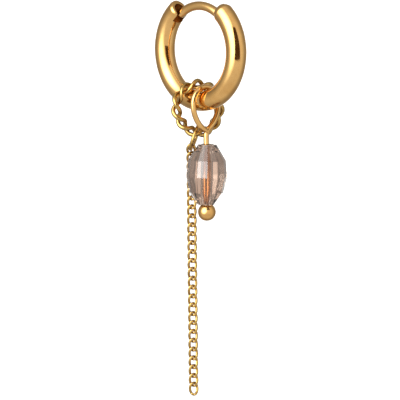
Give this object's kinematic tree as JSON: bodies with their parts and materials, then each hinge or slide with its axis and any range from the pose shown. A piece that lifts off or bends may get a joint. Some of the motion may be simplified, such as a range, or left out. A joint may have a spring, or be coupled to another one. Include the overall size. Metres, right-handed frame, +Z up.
{
  "type": "hinged hoop earring with a chain and a crystal drop",
  "caption": "Hinged hoop earring with a folding ear post, a twisted wire ring carrying a fine curb chain, and a faceted crystal on a ball-ended pin",
  "frame": {"origin": "middle of the ear post's centreline at its highest point, where the ear carries the earring", "axes": "+Z up, the hoop lies in the XZ plane with its hinge end towards +X, and +Y is its left side seen from the hinge end"},
  "size_m": [0.0148, 0.0067, 0.0489],
  "materials": {
    "polished_gold": "polished warm yellow gold plating on brass",
    "chain_gold": "bright, slightly greener yellow gold plating on fine brass wire",
    "smoky_crystal": "clear smoky mauve-brown cut glass with polished facets"
  },
  "bodies": {
    "hoop": {"hoop": "polished_gold", "hinge_pin": "polished_gold", "twisted_ring": "chain_gold", "jump_ring": "chain_gold", "chain_link_01": "chain_gold", "chain_link_02": "chain_gold", "chain_link_03": "chain_gold", "chain_link_04": "chain_gold", "chain_link_05": "chain_gold", "chain_link_06": "chain_gold", "chain_link_07": "chain_gold", "chain_link_08": "chain_gold", "chain_link_09": "chain_gold", "chain_link_10": "chain_gold", "chain_link_11": "chain_gold", "chain_link_12": "chain_gold", "chain_link_13": "chain_gold", "chain_link_14": "chain_gold", "chain_link_15": "chain_gold", "chain_link_16": "chain_gold", "chain_link_17": "chain_gold", "chain_link_18": "chain_gold", "chain_link_19": "chain_gold", "chain_link_20": "chain_gold", "chain_link_21": "chain_gold", "chain_link_22": "chain_gold", "chain_link_23": "chain_gold", "chain_link_24": "chain_gold", "chain_link_25": "chain_gold", "chain_link_26": "chain_gold", "chain_link_27": "chain_gold", "chain_link_28": "chain_gold"},
    "post": {"ear_post": "polished_gold"},
    "drop": {"bead_pin": "polished_gold"},
    "bead": {"crystal_bead": "smoky_crystal"}
  },
  "joints": [
    {"name": "post_hinge", "type": "hinge", "parent": "hoop", "child": "post", "pos_m": [0.00381, 0, -0.00121], "axis": [0, -1, 0], "range_deg": [0, 50]},
    {"name": "drop_swing", "type": "hinge", "parent": "hoop", "child": "drop", "pos_m": [0.00092, 0, -0.01185], "axis": [0.9962, -0.0872, 0], "range_deg": [-25, 20]},
    {"name": "bead_spin", "type": "hinge", "parent": "drop", "child": "bead", "pos_m": [0.00092, 0, -0.02075], "axis": [0.0247, 0.0247, 0.9994], "continuous": true}
  ]
}
